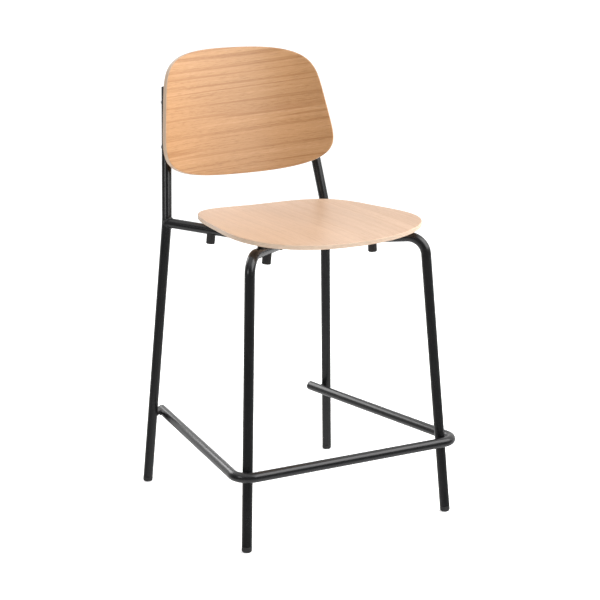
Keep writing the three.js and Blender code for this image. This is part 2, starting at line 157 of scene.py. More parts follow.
def bent_line(points, radii, step=3.0):
    """Stations (point, direction) along straight lines joined by arcs."""
    stations = [(points[0], (points[1] - points[0]).normalized())]
    for i, radius in enumerate(radii):
        before, corner, after = points[i], points[i + 1], points[i + 2]
        inward = (corner - before).normalized()
        outward = (after - corner).normalized()
        turn = inward.angle(outward)
        axis = inward.cross(outward).normalized()
        start = corner - inward * radius * math.tan(turn / 2.0)
        centre = start + axis.cross(inward) * radius
        count = max(3, math.ceil(math.degrees(turn) / step))
        for k in range(count + 1):
            spin = Matrix.Rotation(turn * k / count, 3, axis)
            stations.append((centre + spin @ (start - centre), spin @ inward))
    stations.append((points[-1], (points[-1] - points[-2]).normalized()))
    return stations


FRONT_FOOT = Vector((248.0, -253.0, 0.0))
FRONT_TOP = Vector((212.0, -208.0, LEG_TOP_HEIGHT))
REAR_FOOT = Vector((241.0, 253.0, 0.0))
KINK = Vector((204.0, 202.0, LEG_TOP_HEIGHT + 3.5))
UPRIGHT_TOP = KINK + Vector((-33.0, 61.0, 288.0))
WAIST = Vector((34.0, -38.0, LEG_TOP_HEIGHT - 19.0))
SEAT_TUBE_END = at_height(REAR_FOOT, KINK, LEG_TOP_HEIGHT)


def side_line(side, step=3.0):
    corners = [towards(FRONT_FOOT, FRONT_TOP, GLIDE_HEIGHT), FRONT_TOP, WAIST, SEAT_TUBE_END]
    return bent_line([on_side(p, side) for p in corners], [LEG_TOP_BEND, WAIST_BEND], step)


def rear_line(side, step=3.0):
    corners = [towards(REAR_FOOT, KINK, GLIDE_HEIGHT), KINK, UPRIGHT_TOP]
    return bent_line([on_side(p, side) for p in corners], [KINK_BEND], step)


def footrest_points():
    front = at_height(FRONT_FOOT, FRONT_TOP, FOOTREST_HEIGHT)
    rear = at_height(REAR_FOOT, KINK, FOOTREST_HEIGHT)
    hug = math.radians(FOOTREST_HUG_ANGLE)
    reach = FOOTREST_BEND - 2.0 * TUBE_R - WELD_GAP
    centre = front + Vector((-math.cos(hug), math.sin(hug), 0.0)) * reach
    beside = rear + Vector((-2.0 * TUBE_R - STUB_LENGTH, 0.0, 0.0))
    sight = beside - centre
    radial = math.atan2(sight.y, sight.x) - math.acos(FOOTREST_BEND / sight.length)
    outward = Vector((math.cos(radial), math.sin(radial), 0.0))
    along = Vector((-math.sin(radial), math.cos(radial), 0.0))
    tangent = centre + outward * FOOTREST_BEND
    drop = (tangent.y - (centre.y - FOOTREST_BEND)) / along.y
    return dict(
        corner=tangent - along * drop,
        beside=beside,
        end=beside + along * FOOTREST_OVERRUN,
        along=along,
        rear=rear,
        front=front,
        centre=centre,
    )


FOOTREST = footrest_points()

# ---- Meshes ----


def make(name, vertices, faces, material, slot, replaced=(), sharp=35.0, sheet=None):
    """A piece in metres that rides on the frame, with its CAD nodes replaced."""
    mesh = bpy.data.meshes.new(name)
    shifted = [(x * 0.001, (y + SHIFT) * 0.001, z * 0.001) for x, y, z in vertices]
    mesh.from_pydata(shifted, [], faces)
    if sheet is not None:
        layer = mesh.attributes.new("sheet", "FLOAT_VECTOR", "POINT")
        flat = [c * 0.001 for point in sheet for c in point]
        layer.data.foreach_set("vector", flat)
    mesh.polygons.foreach_set("use_smooth", [True] * len(mesh.polygons))
    mesh.set_sharp_from_angle(angle=math.radians(sharp))
    mesh.materials.append(material)
    piece = bpy.data.objects.new(name, mesh)
    bpy.context.scene.collection.objects.link(piece)
    if replaced:
        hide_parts(*replaced)
    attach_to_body(piece, "root")
    return piece


def side_vectors(stations):
    """A normal for each station, carried along the line without twisting."""
    first = stations[0][1]
    hint = Vector((1.0, 0.0, 0.0)) if abs(first.x) < 0.8 else Vector((0.0, 0.0, 1.0))
    normal = (hint - first * hint.dot(first)).normalized()
    normals = []
    for _, direction in stations:
        normal = (normal - direction * normal.dot(direction)).normalized()
        normals.append(normal)
    return normals


def loft(rings, closed=False, wrap=False):
    """Vertices and faces of a skin through rings of equal length."""
    count = len(rings[0])
    vertices = [tuple(p) for ring in rings for p in ring]
    faces = []
    rows = len(rings) if wrap else len(rings) - 1
    for i in range(rows):
        a, b = i * count, ((i + 1) % len(rings)) * count
        for k in range(count):
            n = (k + 1) % count
            faces.append((a + k, a + n, b + n, b + k))
    if closed:
        faces.append(tuple(range(count - 1, -1, -1)))
        last = (len(rings) - 1) * count
        faces.append(tuple(last + k for k in range(count)))
    return vertices, faces


def round_ring(centre, normal, binormal, radius, sides):
    ring = []
    for k in range(sides):
        angle = 2.0 * math.pi * k / sides
        ring.append(centre + (normal * math.cos(angle) + binormal * math.sin(angle)) * radius)
    return ring


def tube_rings(stations, radius, sides=48):
    rings = []
    for (point, direction), normal in zip(stations, side_vectors(stations)):
        rings.append(round_ring(point, normal, direction.cross(normal), radius, sides))
    return rings


def tube(stations, outer, inner, ease=0.4):
    """A hollow tube with a slightly broken edge at each end."""
    start, heading = stations[0]
    end, leaving = stations[-1]
    eased = (
        [(start, heading), (start + heading * ease, heading)]
        + list(stations[1:-1])
        + [(end - leaving * ease, leaving), (end, leaving)]
    )
    outside = tube_rings(eased, outer)
    outside[0] = tube_rings(eased, outer - ease)[0]
    outside[-1] = tube_rings(eased, outer - ease)[-1]
    inside = tube_rings(eased, inner)
    return loft(outside + inside[::-1], wrap=True)


def cross_axes(direction):
    """Two unit vectors that are square to a direction and to each other."""
    hint = Vector((1.0, 0.0, 0.0)) if abs(direction.x) < 0.8 else Vector((0.0, 1.0, 0.0))
    normal = (hint - direction * hint.dot(direction)).normalized()
    return normal, direction.cross(normal)


def turned(profile, point, direction, sides=48):
    """A turned solid from (radius, height) pairs, low to high on the outside."""
    direction = direction.normalized()
    normal, binormal = cross_axes(direction)
    rings = []
    for radius, height in profile:
        rings.append(
            round_ring(point + direction * height, normal, binormal, max(radius, 0.01), sides)
        )
    return loft(rings, closed=True)


def arc(radius, height, size, start, end, steps=8):
    """A rounded corner of a profile, between two angles in degrees."""
    points = []
    for i in range(steps + 1):
        angle = math.radians(start + (end - start) * i / steps)
        points.append((radius + size * math.cos(angle), height + size * math.sin(angle)))
    return points


# ---- Materials ----


class Nodes:
    """Short calls for building a node material."""

    def __init__(self, name, rough, specular=0.5):
        self.material = bpy.data.materials.new(name)
        self.material.use_nodes = True
        self.tree = self.material.node_tree
        self.shader = self.tree.nodes["Principled BSDF"]
        self.shader.inputs["Roughness"].default_value = rough
        self.shader.inputs["Specular IOR Level"].default_value = specular

    def add(self, kind, inputs=None, **settings):
        node = self.tree.nodes.new("ShaderNode" + kind)
        for key, value in settings.items():
            setattr(node, key, value)
        for key, value in (inputs or {}).items():
            if isinstance(value, bpy.types.NodeSocket):
                self.tree.links.new(value, node.inputs[key])
            else:
                node.inputs[key].default_value = value
        return node

    def link(self, socket, name):
        self.tree.links.new(socket, self.shader.inputs[name])

    def position(self):
        return self.mapped(self.add("TexCoord").outputs["Object"], (1.0, 1.0, 1.0))

    def mapped(self, source, scale, turn=(0.0, 0.0, 0.0)):
        inputs = {"Vector": source, "Scale": scale, "Rotation": turn}
        return self.add("Mapping", inputs).outputs["Vector"]

    def noise(self, vector, scale, detail=4.0, rough=0.55, distortion=0.0):
        inputs = {
            "Vector": vector,
            "Scale": scale,
            "Detail": detail,
            "Roughness": rough,
            "Distortion": distortion,
        }
        return self.add("TexNoise", inputs).outputs["Fac"]

    def ramp(self, value, stops, smooth=False):
        node = self.add("ValToRGB", {"Fac": value})
        node.color_ramp.interpolation = "EASE" if smooth else "LINEAR"
        elements = node.color_ramp.elements
        while len(elements) < len(stops):
            elements.new(0.5)
        for element, (place, colour) in zip(elements, stops):
            element.position = place
            element.color = (*colour, 1.0) if len(colour) == 3 else colour
        return node.outputs["Color"]

    def grey(self, value, stops):
        return self.ramp(value, [(at, (v, v, v)) for at, v in stops])

    def mix(self, share, a, b, blend="MIX"):
        node = self.tree.nodes.new("ShaderNodeMix")
        node.data_type = "RGBA"
        node.blend_type = blend
        for index, value in ((0, share), (6, a), (7, b)):
            if isinstance(value, bpy.types.NodeSocket):
                self.tree.links.new(value, node.inputs[index])
            elif index == 0:
                node.inputs[0].default_value = value
            else:
                node.inputs[index].default_value = (*value, 1.0)
        return node.outputs[2]

    def maths(self, operation, a, b=0.0):
        node = self.add("Math", operation=operation)
        for index, value in enumerate((a, b)):
            if isinstance(value, bpy.types.NodeSocket):
                self.tree.links.new(value, node.inputs[index])
            else:
                node.inputs[index].default_value = value
        return node.outputs[0]

    def blend(self, *shares):
        """The sum of values, each times its own share."""
        total = 0.0
        for value, share in shares:
            total = self.maths("ADD", total, self.maths("MULTIPLY", value, share))
        return total

    def bump(self, height, strength, distance, before=None):
        inputs = {"Height": height, "Strength": strength, "Distance": distance}
        if before is not None:
            inputs["Normal"] = before
        return self.add("Bump", inputs).outputs["Normal"]


def powder_coat():
    n = Nodes("frame_coating", 0.24, 0.5)
    where = n.position()
    blotch = n.noise(where, 14.0, 3.0)
    fine = n.noise(where, 900.0, 2.0, 0.6)
    peel = n.noise(where, 420.0, 2.0, 0.5)
    shades = [(0.3, (0.0048, 0.0049, 0.0053)), (0.7, (0.0072, 0.0073, 0.0078))]
    n.link(n.ramp(blotch, shades), "Base Color")
    mixed = n.blend((blotch, 0.6), (fine, 0.4))
    n.link(n.grey(mixed, [(0.3, 0.2), (0.7, 0.28)]), "Roughness")
    relief = n.bump(peel, 0.3, 0.0001)
    n.link(n.bump(fine, 0.2, 0.00004, relief), "Normal")
    return n.material


def black_plastic():
    n = Nodes("black_plastic", 0.6, 0.4)
    where = n.position()
    cloud = n.noise(where, 30.0, 3.0)
    spark = n.noise(where, 1500.0, 2.0, 0.7)
    n.link(n.ramp(cloud, [(0.3, (0.012, 0.012, 0.0125)), (0.7, (0.02, 0.02, 0.0205))]), "Base Color")
    n.link(n.grey(spark, [(0.3, 0.5), (0.7, 0.72)]), "Roughness")
    n.link(n.bump(spark, 0.4, 0.00006), "Normal")
    return n.material


def zinc_plate():
    n = Nodes("zinc_plate", 0.35)
    n.shader.inputs["Metallic"].default_value = 1.0
    where = n.position()
    cloud = n.noise(where, 160.0, 4.0, 0.6)
    fine = n.noise(where, 1800.0, 2.0)
    n.link(n.ramp(cloud, [(0.3, (0.42, 0.43, 0.45)), (0.7, (0.6, 0.61, 0.62))]), "Base Color")
    n.link(n.grey(fine, [(0.3, 0.28), (0.7, 0.46)]), "Roughness")
    n.link(n.bump(fine, 0.2, 0.00003), "Normal")
    return n.material


def veneer(name, light, middle, dark, pore, grain_along_x, streaks, slant, thickness, edge):
    """Veneered plywood: figured faces, and layers on the edge.

    The sheet attribute holds the flat sheet's own place across, along and below its face.
    """
    n = Nodes(name, 0.36, 0.5)
    sheet = n.add("Attribute", attribute_name="sheet").outputs["Vector"]
    flat = n.mapped(sheet, (1.0, 1.0, 1.0), (0.0, 0.0, math.radians(slant)))

    def stretched(across, lengthwise):
        scale = (lengthwise, across, 1.0) if grain_along_x else (across, lengthwise, 1.0)
        return n.mapped(flat, scale)

    warp = n.noise(stretched(9.0, 2.2), 1.0, 2.0, 0.5)
    broad = n.noise(stretched(34.0, 1.3), 1.0, 2.0, 0.5, 0.2)
    bands = n.noise(stretched(130.0, 2.2), 1.0, 3.0, 0.6, 0.2)
    fibres = n.noise(stretched(420.0, 8.0), 1.0, 4.0, 0.65)
    hair = n.noise(stretched(1700.0, 26.0), 1.0, 3.0, 0.6)
    flecks = n.noise(stretched(400.0, 60.0), 1.0, 3.0, 0.6)
    tone = n.blend((broad, 0.27), (bands, 0.28), (fibres, 0.2), (flecks, 0.25))
    colour = n.ramp(tone, [(0.4, dark), (0.5, middle), (0.6, light)], True)
    drift = n.grey(warp, [(0.3, 0.94), (0.7, 1.04)])
    colour = n.mix(1.0, colour, drift, "MULTIPLY")
    lines = n.noise(stretched(75.0, 0.8), 1.0, 2.0, 0.5, 0.15)
    crests = [(0.54, 0.0), (0.59, 1.0), (0.62, 0.35), (0.67, 0.8), (0.72, 0.1)]
    shade = n.maths("MULTIPLY", n.grey(lines, crests), streaks)
    colour = n.mix(shade, colour, tuple(c * f for c, f in zip(dark, (0.84, 0.74, 0.62))))
    pores = n.noise(stretched(620.0, 22.0), 1.0, 2.0, 0.5)
    mask = n.grey(pores, [(0.6, 0.0), (0.7, 0.6)])
    colour = n.mix(mask, colour, pore)
    depth = n.add("SeparateXYZ", {"Vector": sheet}).outputs["Z"]
    ply = n.maths("MULTIPLY", depth, -1000.0 / thickness)
    layer = n.maths("FRACT", n.maths("MULTIPLY", ply, 3.5))
    wander = n.noise(n.mapped(sheet, (60.0, 60.0, 60.0)), 1.0, 2.0)
    grainy = n.noise(n.mapped(sheet, (420.0, 420.0, 1900.0)), 1.0, 3.0, 0.6)
    layer = n.maths("ADD", layer, n.maths("MULTIPLY", n.maths("SUBTRACT", wander, 0.5), 0.08))
    band = n.ramp(
        layer,
        [(0.0, edge[0]), (0.44, edge[0]), (0.5, edge[1]), (0.94, edge[1]), (1.0, edge[0])],
    )
    band = n.mix(n.grey(grainy, [(0.3, 0.0), (0.7, 0.45)]), band, edge[2])
    inside = n.maths("LESS_THAN", n.maths("ABSOLUTE", n.maths("SUBTRACT", ply, 0.5)), 0.43)
    n.link(n.mix(inside, colour, band), "Base Color")
    wear = n.blend((fibres, 0.5), (broad, 0.5))
    n.link(n.grey(wear, [(0.3, 0.32), (0.7, 0.42)]), "Roughness")
    relief = n.bump(n.grey(pores, [(0.6, 1.0), (0.72, 0.0)]), 0.35, 0.00012)
    n.link(n.bump(hair, 0.25, 0.00006, relief), "Normal")
    return n.material


COATING = powder_coat()
PLASTIC = black_plastic()
ZINC = zinc_plate()
EDGE = ((0.56, 0.43, 0.33), (0.42, 0.31, 0.225), (0.36, 0.26, 0.18))
SEAT_VENEER = veneer(
    "seat_veneer",
    light=(0.51, 0.345, 0.235),
    middle=(0.47, 0.31, 0.205),
    dark=(0.415, 0.265, 0.168),
    pore=(0.33, 0.2, 0.115),
    grain_along_x=False,
    streaks=0.25,
    slant=0.0,
    thickness=SEAT["thickness"],
    edge=EDGE,
)
BACK_VENEER = veneer(
    "backrest_veneer",
    light=(0.46, 0.262, 0.128),
    middle=(0.41, 0.223, 0.1),
    dark=(0.33, 0.165, 0.068),
    pore=(0.25, 0.118, 0.048),
    grain_along_x=True,
    streaks=0.6,
    slant=-3.5,
    thickness=BACK["thickness"],
    edge=EDGE,
)

# ---- Frame ----

SIDES = (("left", -1.0), ("right", 1.0))


def nearest(stations, point):
    return min(stations, key=lambda station: (station[0] - point).length)


def weld(name, start, heading, radius, main_point, main_direction, main_radius, size=WELD_R):
    """A fillet bead round a tube that runs into the side of another.

    The bead lies where the two skins meet, on the side that the branch comes from.
    """
    heading = heading.normalized()
    main_direction = main_direction.normalized()
    normal = main_direction.cross(heading).normalized()
    binormal = heading.cross(normal)
    steps = 96
    path = []
    for k in range(steps):
        angle = 2.0 * math.pi * k / steps
        out = normal * math.cos(angle) + binormal * math.sin(angle)
        foot = start + out * radius - main_point
        flat = foot - main_direction * foot.dot(main_direction)
        run = heading - main_direction * heading.dot(main_direction)
        a, b = run.dot(run), flat.dot(run)
        c = flat.dot(flat) - main_radius**2
        root = (-b - math.sqrt(max(b * b - a * c, 0.0))) / a
        path.append((start + out * radius + heading * root, out))
    rings = []
    for k, (point, out) in enumerate(path):
        along = (path[(k + 1) % steps][0] - path[k - 1][0]).normalized()
        across = (out - along * out.dot(along)).normalized()
        other = along.cross(across)
        ripple = 1.0 + 0.07 * math.sin(2.0 * math.pi * 22.0 * k / steps) + 0.05 * math.sin(0.9 * k)
        rings.append(round_ring(point, across, other, size * ripple, 12))
    vertices, faces = loft(rings, wrap=True)
    return make(name, vertices, faces, COATING, "frame_coating", sharp=60.0)


def build_frame():
    for name, side in SIDES:
        front, rear = side_line(side), rear_line(side)
        make(f"{name}_side_tube_skin", *tube(front, TUBE_R, BORE_R), COATING, "frame_coating",
             [f"{name}_side_tube"])
        make(f"{name}_rear_tube_skin", *tube(rear, TUBE_R, BORE_R), COATING, "frame_coating",
             [f"{name}_rear_leg_and_upright"])
        end, heading = front[-1]
        main_point, main_direction = nearest(rear, end)
        weld(f"{name}_seat_tube_weld", end, heading, TUBE_R, main_point, main_direction, TUBE_R)


def build_cross_tubes():
    for label, target in (("front", FRONT_TOP), ("rear", SEAT_TUBE_END)):
        share = CROSS_TUBES_FROM_WAIST[label] / abs(target.y - WAIST.y)
        end = WAIST.lerp(target, share)
        line = bent_line([on_side(end, -1.0), end], [])
        make(f"{label}_cross_tube_skin", *tube(line, CROSS_R, CROSS_R - TUBE_WALL), COATING,
             "frame_coating", [f"{label}_cross_tube"])
        direction = (target - WAIST).normalized()
        for name, side in SIDES:
            weld(f"{label}_cross_tube_{name}_weld", on_side(end, side), Vector((side, 0.0, 0.0)),
                 CROSS_R, on_side(end, side), on_side(direction, side), TUBE_R)


def build_footrest():
    corner, end = FOOTREST["corner"], FOOTREST["end"]
    line = bent_line(
        [on_side(end, -1.0), on_side(corner, -1.0), corner, end], [FOOTREST_BEND, FOOTREST_BEND]
    )
    make("footrest_tube_skin", *tube(line, TUBE_R, BORE_R), COATING, "frame_coating",
         ["footrest_tube"])
    for name, side in SIDES:
        beside, rear = on_side(FOOTREST["beside"], side), on_side(FOOTREST["rear"], side)
        along = on_side(FOOTREST["along"], side)
        link = bent_line([beside, rear], [])
        make(f"{name}_footrest_stub_skin", *loft(tube_rings(link, STUB_R), closed=True), COATING,
             "frame_coating", [f"{name}_footrest_stub"])
        leg_direction = on_side(KINK - REAR_FOOT, side).normalized()
        outward = Vector((side, 0.0, 0.0))
        weld(f"{name}_stub_leg_weld", rear, outward, STUB_R, rear, leg_direction, TUBE_R,
             STUB_WELD_R)
        weld(f"{name}_stub_rail_weld", beside, -outward, STUB_R, beside, along, TUBE_R,
             STUB_WELD_R)
        hug_weld(name, side)


def hug_weld(name, side):
    """Short beads above and below the place where the footrest's bend touches the front leg."""
    leg, centre = on_side(FOOTREST["front"], side), on_side(FOOTREST["centre"], side)
    outward = (leg - centre).normalized()
    start = math.atan2(outward.y, outward.x)
    vertices, faces = [], []
    for level in (-1.0, 1.0):
        rings = []
        count = 24
        for k in range(count + 1):
            share = 2.0 * k / count - 1.0
            angle = start + share * LEG_WELD_HALF_ANGLE
            out = Vector((math.cos(angle), math.sin(angle), 0.0))
            radius = FOOTREST_BEND - TUBE_R + LEG_WELD_SINK + LEG_WELD_SPREAD * share * share
            ripple = 1.0 + 0.06 * math.sin(1.9 * k)
            size = LEG_WELD_R * math.sqrt(max(1.0 - share * share, 0.0004)) * ripple
            place = Vector((centre.x, centre.y, FOOTREST_HEIGHT)) + out * radius
            place.z += level * LEG_WELD_LEVEL
            rings.append(round_ring(place, out, Vector((0.0, 0.0, 1.0)), size, 14))
        more, extra = loft(rings, closed=True)
        faces += [tuple(i + len(vertices) for i in face) for face in extra]
        vertices += more
    make(f"{name}_footrest_leg_weld", vertices, faces, COATING, "frame_coating", sharp=60.0)


# ---- Plugs ----


def build_plugs():
    stem = BORE_R - GAP
    inside = [(0.0, -STEM_LENGTH), (stem - 1.0, -STEM_LENGTH), (stem, 1.0 - STEM_LENGTH)]
    inside += [(stem, GAP), (TUBE_R - 0.3, GAP), (TUBE_R, GAP + 0.3)]
    cap = inside + arc(TUBE_R - CAP_EDGE_RADIUS, CAP_HEAD - CAP_EDGE_RADIUS, CAP_EDGE_RADIUS, 0.0, 75.0)
    cap += [(TUBE_R - CAP_CROWN_FROM_EDGE, CAP_HEAD - CAP_CROWN_RISE), (0.0, CAP_HEAD)]
    full = GLIDE_HEIGHT + GLIDE_SUNK
    rim, level = TUBE_R - GLIDE_EDGE_RADIUS, full - GLIDE_EDGE_RADIUS
    glide = inside + arc(rim, level, GLIDE_EDGE_RADIUS, 0.0, 90.0, 14) + [(0.0, full)]
    for name, side in SIDES:
        for label, foot, top in (("front", FRONT_FOOT, FRONT_TOP), ("rear", REAR_FOOT, KINK)):
            start = on_side(towards(foot, top, GLIDE_HEIGHT), side)
            vertices, faces = turned(glide, start, on_side(foot, side) - start)
            flattened = [(x, y, max(z, 0.0)) for x, y, z in vertices]
            make(f"{label}_{name}_glide_skin", flattened, faces, PLASTIC, "black_plastic",
                 [f"{label}_{name}_glide"])
        up = on_side(UPRIGHT_TOP - KINK, side)
        make(f"{name}_upright_cap_skin", *turned(cap, on_side(UPRIGHT_TOP, side), up), PLASTIC,
             "black_plastic", [f"{name}_upright_cap"])
        make(f"{name}_footrest_plug_skin",
             *turned(cap, on_side(FOOTREST["end"], side), on_side(FOOTREST["along"], side)), PLASTIC,
             "black_plastic", [f"{name}_footrest_plug"])


# ---- Panels ----


def outline_point(size, cosine, sine, share):
    v = math.copysign(abs(sine) ** (2.0 / size["end_power"]), sine)
    u = math.copysign(abs(cosine) ** (2.0 / size["side_power"]), cosine)
    return share * (size["half_width"] + size["taper"] * v) * u, share * size["half_length"] * v


def panel(name, size, place, material, slot, node):
    """A moulded sheet, skinned from the middle of the underside, round the edge, to the face."""
    thick, ease = size["thickness"], PLY_EDGE_RADIUS
    half = size["half_length"]
    rim = 1.0 - ease / half
    steps = PANEL_EDGE_STEPS
    shares = [rim * (k / PANEL_RINGS) for k in range(1, PANEL_RINGS)]
    profile = [(share, -thick) for share in shares]
    for k in range(steps + 1):
        angle = math.radians(-90.0 + 90.0 * k / steps)
        profile.append((rim + ease / half * math.cos(angle), ease - thick + ease * math.sin(angle)))
    profile += [(1.0, -ease - (thick - 2.0 * ease) * (1.0 - k / 4.0)) for k in range(1, 4)]
    for k in range(steps + 1):
        angle = math.radians(90.0 * k / steps)
        profile.append((rim + ease / half * math.cos(angle), -ease + ease * math.sin(angle)))
    profile += [(share, 0.0) for share in reversed(shares)]
    sides = PANEL_SIDES
    angles = []
    for k in range(sides):
        angle = 2.0 * math.pi * k / sides
        angles.append(angle - CORNER_CROWDING * math.sin(4.0 * angle))
    flats, rings = [], []
    for share, height in profile:
        flat = []
        for angle in angles:
            u, v = outline_point(size, math.cos(angle), math.sin(angle), share)
            flat.append((u, v, height))
        flats += flat
        rings.append([Vector(place(*point)) for point in flat])
    vertices, faces = loft(rings)
    for ring, height in ((0, -thick), (len(rings) - 1, 0.0)):
        middle = len(vertices)
        vertices.append(tuple(place(0.0, 0.0, height)))
        flats.append((0.0, 0.0, height))
        first = ring * sides
        for k in range(sides):
            pair = (first + k, first + (k + 1) % sides)
            faces.append((middle, *(pair if ring else pair[::-1])))
    return make(name, vertices, faces, material, slot, [node], sharp=50.0, sheet=flats)


def seat_rise(x, y):
    across = x / SEAT["half_width"]
    along = (y + SEAT_FORWARD) / SEAT["half_length"]
    end = -SEAT_FRONT_FALL if along < 0.0 else SEAT_BACK_LIFT
    return SEAT_SIDE_LIFT * across**2 + end * along**2


def seat_place(u, v, height):
    y = v - SEAT_FORWARD
    return u, y, SEAT_FACE + seat_rise(u, y) + height


BACK_UP = Vector((0.0, math.sin(BACK_TILT), math.cos(BACK_TILT)))
BACK_FORWARD = Vector((0.0, -math.cos(BACK_TILT), math.sin(BACK_TILT)))


def back_centre():
    beside = at_height(KINK, UPRIGHT_TOP, UPRIGHT_TOP.z - BACK_CENTRE_BELOW_TOP)
    reach = BACK_RADIUS + BACK["thickness"] + BACK_STANDOFF + TUBE_R
    depth = math.sqrt(reach**2 - beside.x**2) - BACK_RADIUS
    return Vector((0.0, beside.y, beside.z)) + BACK_FORWARD * depth


BACK_MIDDLE = back_centre()


def back_place(u, v, height):
    angle = u / BACK_RADIUS
    radius = BACK_RADIUS - height
    forward = BACK_RADIUS - radius * math.cos(angle)
    point = BACK_MIDDLE + BACK_UP * v + BACK_FORWARD * forward
    return radius * math.sin(angle), point.y, point.z


def build_panels():
    panel("seat_shell", SEAT, seat_place, SEAT_VENEER, "seat_veneer", "seat_panel")
    panel("backrest_shell", BACK, back_place, BACK_VENEER, "backrest_veneer", "backrest_panel")


# ---- Fixings ----


def hex_screw(name, point, direction, head, length, node):
    """A machine screw: a head with a hexagon socket, below the point, and a shank above it."""
    direction = direction.normalized()
    normal, binormal = cross_axes(direction)
    sides = 48
    head_radius, head_height = head

    def ring(radius, height, hexagon=False):
        points = []
        for k in range(sides):
            angle = 2.0 * math.pi * k / sides
            reach = radius
            if hexagon:
                within = (angle + math.pi / 6.0) % (math.pi / 3.0) - math.pi / 6.0
                reach = radius / math.cos(within)
            place = point + direction * height
            points.append(place + (normal * math.cos(angle) + binormal * math.sin(angle)) * reach)
        return points

    edge = head_height * 0.28
    socket_floor, face = -head_height * 0.3, -head_height
    rings = [ring(0.01, socket_floor, True), ring(SOCKET_R, socket_floor, True)]
    rings += [ring(SOCKET_R, face + 0.3, True), ring(SOCKET_R + 0.3, face, True)]
    for radius, height in arc(head_radius - edge, edge - head_height, edge, -90.0, 0.0, 6):
        rings.append(ring(radius, height))
    rings += [ring(head_radius, 0.0), ring(SCREW_R, 0.0), ring(SCREW_R, length), ring(0.01, length)]
    make(name, *loft(rings, closed=True), ZINC, "zinc_plate", [node], sharp=30.0)


def seat_fixing(right, side):
    """A point on the seat tube, the direction from it to the seat, and the distance."""
    at = on_side(right, side)
    slope_x = seat_rise(at.x + 1.0, at.y) - seat_rise(at.x, at.y)
    slope_y = seat_rise(at.x, at.y + 1.0) - seat_rise(at.x, at.y)
    up = Vector((-slope_x, -slope_y, 1.0)).normalized()
    under = SEAT_FACE - SEAT["thickness"] + seat_rise(at.x, at.y)
    return at, up, (under - at.z) * up.z


def sleeve(radius, start, reach, hole=HOLE_R):
    """The profile of a spacer or pad between a tube and a panel, with its edges eased."""
    top = reach - GAP
    ease = 0.4
    side = [(radius - ease, start), (radius, start + ease), (radius, top - ease)]
    return [(hole, start), *side, (radius - ease, top), (hole, top)]


def build_support_pads():
    for name, side in SIDES:
        at, up, reach = seat_fixing(towards(FRONT_TOP, WAIST, SUPPORT_PAD_FROM_LEG), side)
        pad = sleeve(SUPPORT_PAD_R, SUPPORT_PAD_START, reach, hole=0.0)
        make(f"front_{name}_support_pad_skin", *turned(pad, at, up), PLASTIC, "black_plastic",
             [f"front_{name}_support_pad"])


def build_seat_fixings():
    points = (
        ("front", towards(FRONT_TOP, WAIST, FRONT_SEAT_SCREW_FROM_LEG)),
        ("rear", towards(SEAT_TUBE_END, WAIST, REAR_SEAT_SCREW_FROM_LEG)),
    )
    for label, right in points:
        for name, side in SIDES:
            at, up, reach = seat_fixing(right, side)
            bottom = -TUBE_R - BUMPER_HEIGHT
            floor = -TUBE_R - BUMPER_FLOOR
            spacer = sleeve(SEAT_SPACER_R, SEAT_SPACER_START, reach)
            make(f"seat_spacer_{label}_{name}_skin", *turned(spacer, at, up), PLASTIC,
                 "black_plastic", [f"seat_spacer_{label}_{name}"])
            recess, edge = BUMPER_RECESS_R, BUMPER_EDGE_RADIUS
            bumper = [(0.0, floor), (recess, floor), (recess, bottom + 0.5), (recess + 0.5, bottom)]
            bumper += arc(BUMPER_R - edge, bottom + edge, edge, -90.0, 0.0)
            bumper += [(BUMPER_R, -BUMPER_START), (0.0, -BUMPER_START)]
            make(f"stacking_bumper_{label}_{name}_skin", *turned(bumper, at, up), PLASTIC,
                 "black_plastic", [f"stacking_bumper_{label}_{name}"])
            length = reach - floor + GAP + SCREW_ENGAGEMENT
            hex_screw(f"seat_screw_{label}_{name}_skin", at + up * (floor - GAP), up,
                      SEAT_SCREW_HEAD, length, f"seat_screw_{label}_{name}")


def build_back_fixings():
    for label, below in BACK_SCREWS_BELOW_TOP.items():
        for name, side in SIDES:
            at = on_side(at_height(KINK, UPRIGHT_TOP, UPRIGHT_TOP.z - below), side)
            behind = BACK_RADIUS - (at - BACK_MIDDLE).dot(BACK_FORWARD)
            forward = (Vector((-at.x, 0.0, 0.0)) + BACK_FORWARD * behind).normalized()
            reach = math.hypot(at.x, behind) - BACK_RADIUS - BACK["thickness"]
            spacer = sleeve(BACK_SPACER_R, BACK_SPACER_START, reach)
            make(f"backrest_spacer_{label}_{name}_skin", *turned(spacer, at, forward), PLASTIC,
                 "black_plastic", [f"backrest_spacer_{label}_{name}"])
            length = reach + TUBE_R + GAP + SCREW_ENGAGEMENT
            hex_screw(f"backrest_screw_{label}_{name}_skin", at - forward * (TUBE_R + GAP), forward,
                      BACK_SCREW_HEAD, length, f"backrest_screw_{label}_{name}")


# ---- Setting ----

DIM_SIDE = 0.2
WHITE_SIDE = 1.0
BRIGHT_TOP = 1.3
BRIGHT_GROUND = 1.1

# Where the room's light fades from one value to the next, along a unit direction
SIDE_FADE = (-0.2, 0.7)
TOP_FADE = (0.45, 0.9)
GROUND_FADE = (-0.6, -0.25)

